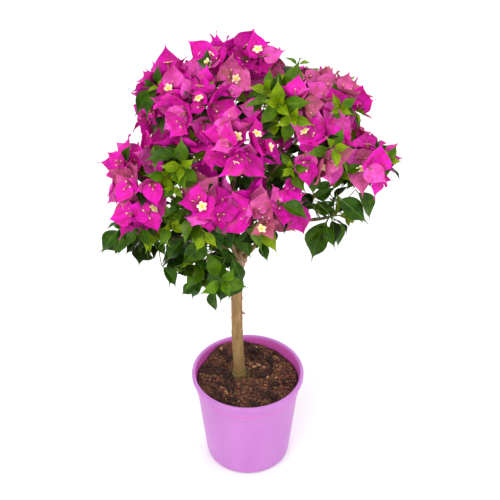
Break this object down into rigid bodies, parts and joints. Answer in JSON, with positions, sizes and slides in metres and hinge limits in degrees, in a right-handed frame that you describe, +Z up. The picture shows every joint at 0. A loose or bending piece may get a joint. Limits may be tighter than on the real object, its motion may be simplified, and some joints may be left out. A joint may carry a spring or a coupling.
{
  "type": "potted bougainvillea",
  "caption": "Young bougainvillea trained as a small standard tree, in flower: slender trunk, open rounded crown of papery bracts and leaves, tapered lilac plastic pot.",
  "frame": {"origin": "centre of the pot's flat underside, on the surface that it stands on", "axes": "+Z up along the pot's axis, -Y towards the side shown by the picture, +X to its right"},
  "size_m": [0.3555, 0.3139, 0.6242],
  "materials": {
    "lilac_plastic": "thin moulded plastic in lilac pink, satin, with faint flow marks",
    "potting_mix": "moist dark brown potting mix with bark chips and a few white specks",
    "bark": "pale tan bark with fine lengthwise cracks and leaf scars, greener and smoother on young wood",
    "blossom": "papery magenta bracts with fine veins, some faded to dusky pink",
    "foliage": "smooth green leaves, dark when grown and lime green at the shoot tips"
  },
  "bodies": {
    "root": {"pot": "lilac_plastic", "potting_mix": "potting_mix", "trunk": "bark", "bough_left": "bark", "bough_front_left": "bark", "bough_front_right": "bark", "bough_right": "bark", "bough_back_right": "bark", "bough_back": "bark", "bough_back_left": "bark", "bough_crown_top": "bark", "bough_left_low": "bark", "bough_side_left": "bark", "bough_low_left_out": "bark", "bough_centre": "bark", "bough_low_front": "bark", "bough_low_right": "bark", "bough_right_mid": "bark", "bough_right_back": "bark", "bough_shoulder": "bark", "bough_crest": "bark", "bough_crown_right": "bark", "bough_crown_mid": "bark", "bough_crown_left": "bark", "bough_low_back": "bark", "foliage_left": "blossom", "foliage_front_left": "blossom", "foliage_front_right": "blossom", "foliage_right": "blossom", "foliage_back_right": "blossom", "foliage_back": "blossom", "foliage_back_left": "blossom", "foliage_crown_top": "blossom", "foliage_left_low": "blossom", "foliage_side_left": "foliage", "foliage_low_left_out": "foliage", "foliage_centre": "blossom", "foliage_low_front": "foliage", "foliage_low_right": "foliage", "foliage_right_mid": "blossom", "foliage_right_back": "blossom", "foliage_shoulder": "blossom", "foliage_crest": "foliage", "foliage_crown_right": "blossom", "foliage_crown_mid": "blossom", "foliage_crown_left": "blossom", "foliage_low_back": "foliage", "foliage_low_left": "foliage"}
  },
  "joints": []
}
